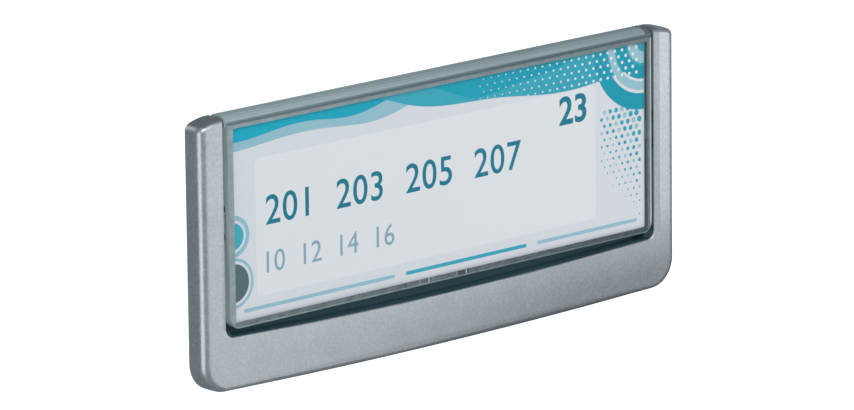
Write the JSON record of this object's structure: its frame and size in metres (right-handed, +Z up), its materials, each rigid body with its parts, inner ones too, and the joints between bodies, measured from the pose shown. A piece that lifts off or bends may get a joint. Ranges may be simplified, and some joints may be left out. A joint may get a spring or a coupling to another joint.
{
  "type": "door sign",
  "caption": "Wall-mounted name and room sign: a silver U-shaped housing around a clear press-to-open window that rocks on side pivots and lifts out with its printed insert card.",
  "frame": {"origin": "centre of the back plate's rear face, on the wall plane", "axes": "+X to the right seen from the front, +Y into the wall, +Z up; the sign faces -Y"},
  "size_m": [0.1712, 0.0064, 0.0747],
  "materials": {
    "silver_shell": "satin silver metallic moulding with a fine mottle",
    "dark_plate": "matt dark grey-green",
    "clear_acrylic": "clear polished acrylic with a faint green edge",
    "printed_card": "printed paper card, semi-matt",
    "black_acetal": "matt black",
    "foam_tape": "white foam tape"
  },
  "bodies": {
    "housing": {"housing_frame": "silver_shell", "back_plate": "dark_plate", "foam_pad_1": "foam_tape", "foam_pad_2": "foam_tape", "foam_pad_3": "foam_tape", "foam_pad_4": "foam_tape"},
    "pivot_clips": {"pivot_clip_left": "black_acetal", "pivot_clip_right": "black_acetal"},
    "window": {"clear_window": "clear_acrylic"},
    "insert": {"insert_card": "printed_card"},
    "spring_tongue": {"click_spring": "black_acetal"}
  },
  "joints": [
    {"name": "window_tilt", "type": "hinge", "parent": "housing", "child": "pivot_clips", "pos_m": [0, -0.00265, 0.009], "axis": [1, 0, 0], "range_deg": [0, 4], "stiffness_Nm_per_rad": 0.3, "springref_deg": -2.01},
    {"name": "window_pull", "type": "slide", "parent": "pivot_clips", "child": "window", "axis": [0, -1, 0], "range_m": [0, 0.045]},
    {"name": "insert_lift", "type": "slide", "parent": "window", "child": "insert", "axis": [0, 1, 0], "range_m": [0, 0.018]},
    {"name": "spring_flex", "type": "hinge", "parent": "housing", "child": "spring_tongue", "pos_m": [0, -0.00255, -0.007], "axis": [1, 0, 0], "range_deg": [0, 9.3]}
  ],
  "couplings": [
    {"joint": "insert_lift", "follows": "window_pull", "ratio": 0.4},
    {"joint": "spring_flex", "follows": "window_tilt", "ratio": 2.325}
  ]
}
